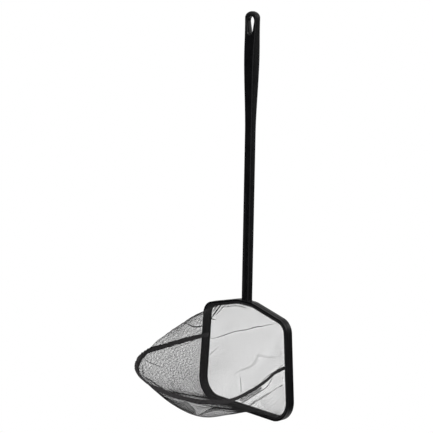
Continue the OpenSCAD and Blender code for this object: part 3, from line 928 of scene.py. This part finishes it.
def held_by(outline, t, v):
    """Which places (t, v) are inside the outline."""
    held = np.zeros(t.shape, bool)
    for (t0, v0), (t1, v1) in zip(outline, np.roll(outline, -1, 0)):
        crosses = (v0 > v) != (v1 > v)
        held ^= crosses & (t < t0 + (v - v0) * (t1 - t0) / (v1 - v0 or 1))
    return held


def pleat_threads(panel, pleats, seed):
    """The further layers of mesh in each pleat, one outside the other."""
    parts = []
    for outline, layers in pleats:
        outline = np.array(outline) / 1000
        corners = panel.flat_at(*outline.T)
        for k in range(layers):
            first, more = PLEAT_TURNS
            flat, shape = lattice(corners, mesh_angle(panel) + first + more * k)
            lift = SWAY * ripple(flat, seed) + PLEAT_LIFT * (k + 1)
            points, present, normals, t, v = laid_on(panel, flat, shape, lift)
            parts.append(knotted_threads(points, present & held_by(outline, t, v), normals))
    return parts


def caught_threads(panel, folds, seed):
    """Threads that lie bunched along the folds."""
    rng = np.random.default_rng(seed + 20)
    samples = 40
    strands, lifts = [], []
    for line, tuck, squeeze, reach, height, threads, spread in folds:
        path = smooth_path(panel, line)
        lengths = lengths_along(path)
        for _ in range(threads):
            share = np.linspace(rng.uniform(0, 0.2), rng.uniform(0.8, 1), samples)
            p = along(path, lengths, share * lengths[-1])
            ahead = unit(np.gradient(p, axis=0))
            side = spread / 2 * rng.uniform(-1, 1) * np.sin(math.pi * (0.1 + 0.8 * share))
            side += 0.1 * np.sin(share * lengths[-1] * rng.uniform(0.7, 2) + rng.uniform(0, 6))
            strands.append(p + left_of(ahead) * side[:, None])
            lifts.append(np.full(samples, rng.uniform(0, 0.3) + height * 0.4))
    flat = np.vstack(strands)
    lift = SWAY * ripple(flat, seed) + np.concatenate(lifts)
    grid = laid_on(panel, flat, (len(strands), samples), lift)[:3]
    return knotted_threads(*grid, THREAD_R * 1.15, axes=(1,))


def threads_round_rim(panel):
    """The knotted threads that line the ring, from the mouth of the panel back to the hem."""
    lengths = lengths_along(panel.mouth)
    step = THREAD_PITCH / math.sqrt(2)
    count = int(lengths[-1] / step / 2) + int(RIM_DEPTH / step) + 2
    a, b = np.meshgrid(np.arange(-10, count), np.arange(-10, count), indexing="ij")
    s, y = (a + b) * step, (a - b) * step
    present = (s >= 0) & (s <= lengths[-1]) & (y >= -0.01) & (y <= RIM_DEPTH)
    line = along(panel.mouth, lengths, s)
    ahead = along(panel.mouth, lengths, s + 0.5) - along(panel.mouth, lengths, s - 0.5)
    line[..., 1] += y
    out = unit(np.cross(ahead, [0, 1, 0])) * (-1 if panel.upper else 1)
    return knotted_threads(line, present, out)


def make_panel(upper):
    panel = Panel(upper)
    folds, seed = (UPPER_FOLDS, 5) if upper else (LOWER_FOLDS, 9)
    parts = [threads_over(panel, folds, seed), threads_round_rim(panel),
             caught_threads(panel, folds, seed)]
    if not upper:
        parts += pleat_threads(panel, LOWER_PLEATS, seed)
    points, faces = joined(parts)
    points[:, 2] += MID_Z
    name = "upper" if upper else "lower"
    piece = mesh_object(f"{name}_mesh", points, faces, NET_YARN, NET_BODY)
    return stands_for(piece, f"{name}_panel"), panel


# The hem, the tape and its stitches
def make_hem():
    (inner, outer), (front, back) = HEM_S, HEM_F
    section = rounded([(inner, front, 0.22), (inner, back, 0.22), (outer, back, 0.25),
                       (outer, front, 0.25)], 3)
    points, faces = sweep_round_hoop(section)
    rng = np.random.default_rng(3)
    around = np.arctan2(points[:, 2] - MID_Z, points[:, 0])
    for wave in (41, 67, 97, 131):
        shift = 0.06 * np.sin(wave * around + rng.uniform(0, 2 * math.pi))
        points += unit(points * [1, 0, 1] - [0, 0, MID_Z]) * shift[:, None]
    hem = mesh_object("mesh_hem", points, faces, HEM_YARN, NET_BODY)
    return stands_for(hem, "mouth_hem")


# Stretches (from, to) of the seam where the tape lies over, and by how many degrees
TAPE_TWISTS = [(-0.1, 0.3, 27), (0.24, 0.55, 17), (0.5, 0.76, 60), (0.93, 1.1, -28)]
TWIST_RUN = 0.07
# The stretch where the tape hangs lower than the seam, over what run it gets there, how low
TAPE_HANGS = (0.26, 0.53, 0.08, 1.2)


def tape_centre(t):
    start, end, run, low = TAPE_HANGS
    drop = low * ease((t - start) / run) * ease((end - t) / run)
    return seam_points(t) - np.outer(drop, [0, 0, 1])


def tape_axes(t):
    """The directions along, across and out of the tape as it is twisted."""
    heading, up, out = seam_frame(t)
    a = sum(math.radians(turn) * ease((t - start) / TWIST_RUN) * ease((end - t) / TWIST_RUN)
            for start, end, turn in TAPE_TWISTS)[:, None]
    return heading, up * np.cos(a) + out * np.sin(a), out * np.cos(a) - up * np.sin(a)


def make_tape():
    t = np.linspace(0, 1, 640)
    centre = tape_centre(t)
    heading, up, out = tape_axes(t)
    back = np.array([0, SEAM_START_F - RING_BACK_F + 0.1, 0])
    centre = np.vstack([centre[:1] + back, centre[:1] + back * 0.5, centre,
                        centre[-1:] + back * 0.5, centre[-1:] + back])
    up, out = (np.vstack([a[:1], a[:1], a, a[-1:], a[-1:]]) for a in (up, out))
    run = lengths_along(centre)
    # Unevenness along the tape, and the frayed threads at its two edges
    rng = np.random.default_rng(11)
    sway, puff, lean = (sum(rng.uniform(0.3, 1) * np.sin(2 * math.pi * run / rng.uniform(6, 45)
                                                         + rng.uniform(0, 6)) for _ in range(6)) / 3
                        for _ in range(3))
    fray = rng.normal(0, 1, (2, len(run)))
    fray = (fray + np.roll(fray, 1, 1) + 0.5 * np.roll(fray, 2, 1)) * 0.16
    sides = 28
    angles = round_angles(sides)
    cosine, sine = np.cos(angles), np.sin(angles)
    u = TAPE_W / 2 * TAPE_SPREAD * np.sign(cosine) * np.abs(cosine) ** 0.55
    w = TAPE_T / 2 * TAPE_PRESS * np.sign(sine) * np.abs(sine) ** 0.6
    dimple = np.exp(-((u / 0.5) ** 2)) * 0.16 * np.sign(w)
    pull = 0.6 + 0.4 * np.cos(2 * math.pi * run / STITCH_PITCH)
    sway, puff, lean, pull, *fray = (a[:, None] for a in (sway, puff, lean, pull, *fray))
    across = u * (1 + 0.05 * sway) + 0.16 * lean
    across += np.where(u > 0, *fray) * (np.abs(u) / TAPE_W * 2) ** 3
    thick = w * (1 + 0.12 * puff) - dimple * pull + 0.14 * sway * (across / TAPE_W) * 2
    points = (centre[:, None] + across[..., None] * up[:, None]
              + thick[..., None] * out[:, None]).reshape(-1, 3)
    points[:, 2] += MID_Z
    faces = tube_faces(len(centre), sides, flip=True)
    tape = mesh_object("binding_tape", points, faces, TAPE_CLOTH, NET_BODY)
    return stands_for(tape, "seam_tape")


def make_stitches():
    sides = 8
    total = SEAM_LENGTHS[-1]
    t = np.arange(1, int(total / STITCH_PITCH)) * STITCH_PITCH / total
    centre = tape_centre(t)
    circle = round_angles(sides)[:, None]
    # Rings of a stitch: share of its length, share of its radius, height over the tape
    rings = np.array([(-0.5, 0.35, -0.30), (-0.47, 0.8, -0.14), (-0.35, 1, 0.02), (0, 1.05, 0.1),
                      (0.35, 1, 0.02), (0.47, 0.8, -0.14), (0.5, 0.35, -0.30)])
    place, wide, rise = rings.T[..., None, None]
    parts = []
    for side in (1, -1):
        for c, ahead, up, out in zip(centre, *tape_axes(t)):
            points = (c + out * side * (TAPE_T / 2 * TAPE_PRESS - 0.05) + ahead * place * STITCH_LEN
                      + out * side * rise
                      + STITCH_R * wide * (np.cos(circle) * up + np.sin(circle) * out))
            parts.append((points.reshape(-1, 3), tube_faces(len(rings), sides)))
    points, faces = joined(parts)
    points[:, 2] += MID_Z
    stitches = mesh_object("tape_stitches", points, faces, SEWING_THREAD, NET_BODY)
    return stands_for(stitches, "seam_thread")


# The camera of the photograph, in degrees, pixels and millimetres: its place is counted from
# the hoop's middle, to its own right, up and back
CAMERA_ANGLES = (47.5, 9.571, 0.948)
CAMERA_PLACE = (-32.93, 163.69, 1616.94)
FOCAL_PX = 1430.92
PHOTO_PX = 433
SENSOR = 36


def make_camera():
    turn, rise, roll = (math.radians(a) for a in CAMERA_ANGLES)
    right = np.array([math.cos(turn), math.sin(turn), 0])
    back = np.array([math.sin(turn) * math.cos(rise), -math.cos(turn) * math.cos(rise),
                     math.sin(rise)])
    up = np.cross(back, right)
    right, up = (right * math.cos(roll) + up * math.sin(roll),
                 up * math.cos(roll) - right * math.sin(roll))
    place = sum(far * way for far, way in zip(CAMERA_PLACE, (right, up, back))) + [0, 0, MID_Z]
    data = bpy.data.cameras.new("photo_camera")
    data.sensor_width = SENSOR
    data.lens = SENSOR * FOCAL_PX / PHOTO_PX
    data.clip_end = 200
    camera = bpy.data.objects.new("photo_camera", data)
    camera.matrix_world = Matrix([*zip(right, up, back, place * MM), (0, 0, 0, 1)])
    bpy.context.collection.objects.link(camera)
    bpy.context.scene.camera = camera


# Light from all round, and sizes of the studio in metres
WORLD_LEVEL = 0.8
FLOOR_HALF = 30.0
FLOOR_DROP = 0.28
CARD_LIFT = 0.01
CARD_NEAR = 0.35
CARD_NEAR_HALF = 0.3
CARD_FAR = 1.7


def camera_white(tree):
    """1 for the rays that should see plain white, 0 for the others."""
    path = add_node(tree, "LightPath").outputs
    total = path["Is Camera Ray"]
    for name in ("Is Glossy Ray", "Is Transmission Ray"):
        total = add_node(tree, "Math", {0: total, 1: path[name]}, operation="MAXIMUM"
                         ).outputs["Value"]
    return total


def make_world():
    world = bpy.data.worlds.new("studio")
    bpy.context.scene.world = world
    world.use_nodes = True
    tree = world.node_tree
    background = tree.nodes["Background"]
    background.inputs["Color"].default_value = (1, 1, 1, 1)
    strength = add_node(tree, "MapRange", {"To Min": WORLD_LEVEL, "To Max": 1.0,
                                           "Value": camera_white(tree)})
    tree.links.new(strength.outputs["Result"], background.inputs["Strength"])


def stage_object(name, points, faces, material):
    """A piece of the studio, from points in metres."""
    mesh = bpy.data.meshes.new(name)
    mesh.from_pydata(points, [], faces)
    mesh.materials.append(material)
    thing = bpy.data.objects.new(name, mesh)
    bpy.context.collection.objects.link(thing)
    return thing


def make_floor():
    """Pale floor that keeps the net's shadow, and turns to plain white further out."""
    material, tree, shader = new_material(
        "pale_floor", (0.8, 0.8, 0.8), 0.9, Specular_IOR_Level=0.1)
    distance = add_node(tree, "VectorMath", {0: own_place(tree)}, operation="LENGTH")
    share = add_node(tree, "MapRange", {"From Min": 0.25, "From Max": 0.62, "To Min": 0.35,
                                        "To Max": 1.0, "Value": distance.outputs["Value"]},
                     interpolation_type="SMOOTHSTEP")
    seen = add_node(tree, "Math", {0: share.outputs["Result"], 1: camera_white(tree)},
                    operation="MULTIPLY")
    mix = add_node(tree, "MixShader", {"Fac": seen.outputs["Value"], 1: shader.outputs["BSDF"],
                                       2: add_node(tree, "Emission").outputs["Emission"]})
    tree.links.new(mix.outputs["Shader"], tree.nodes["Material Output"].inputs["Surface"])
    h = FLOOR_HALF
    floor = stage_object("floor", [(-h, -h, 0), (h, -h, 0), (h, h, 0), (-h, h, 0)],
                         [(0, 1, 2, 3)], material)
    floor.location = (0, 0, HOOP_LOW_Z * MM - FLOOR_DROP)


def make_lamp(name, place, size, power):
    data = bpy.data.lights.new(name, "AREA")
    data.shape = "RECTANGLE"
    data.size, data.size_y = size
    data.energy = power
    lamp = bpy.data.objects.new(name, data)
    lamp.location = place
    aim = Vector((0, 0, MID_Z * MM)) - Vector(place)
    lamp.rotation_euler = aim.to_track_quat("-Z", "Y").to_euler()
    bpy.context.collection.objects.link(lamp)


def make_card(name, turn, wide):
    """Dark card that stands on the floor and runs towards the object, which only gloss sees: a
    painted dark reflection on the plastic's faces.
    """
    material = new_material(name, (0.01, 0.01, 0.01), 1.0, Specular_IOR_Level=0.0)[0]
    turn = math.radians(turn)
    out = Vector((math.cos(turn), math.sin(turn), 0))
    side = Vector((-out.y, out.x, 0))
    low = HOOP_LOW_Z * MM - FLOOR_DROP + CARD_LIFT
    rows = [(CARD_NEAR, CARD_NEAR_HALF, low), (CARD_FAR, wide, low), (CARD_FAR, wide, low + wide)]
    points = [out * away + side * half * k + Vector((0, 0, z)) for away, half, z in rows
              for k in (-1, 1)]
    card = stage_object(name, points, [(0, 1, 3, 2), (2, 3, 5, 4)], material)
    card.visible_camera = card.visible_diffuse = card.visible_shadow = False


make_camera()
make_hoop()
make_ring()
make_handle()
upper_mesh, upper = make_panel(True)
lower_mesh, lower = make_panel(False)
hem = make_hem()
tape = make_tape()
stitches = make_stitches()
for piece, panel, sewn in ((upper_mesh, upper, [tape, stitches]), (lower_mesh, lower, [hem])):
    [side * MM for side in panel.cut_size()]
    panel.cut_area() * MM**2

make_world()
make_floor()
make_card("front_card", 222, 1.3)
make_card("back_card", 42, 0.9)
make_lamp("key", (0.36, -1.16, 1.05), (0.45, 0.45), 14)
make_lamp("fill", (1.27, -1.39, 0.15), (0.4, 1.6), 8)
make_lamp("rim", (0.75, 1.55, 0.3), (0.6, 1.4), 12)
bpy.context.scene.view_settings.view_transform = "Standard"
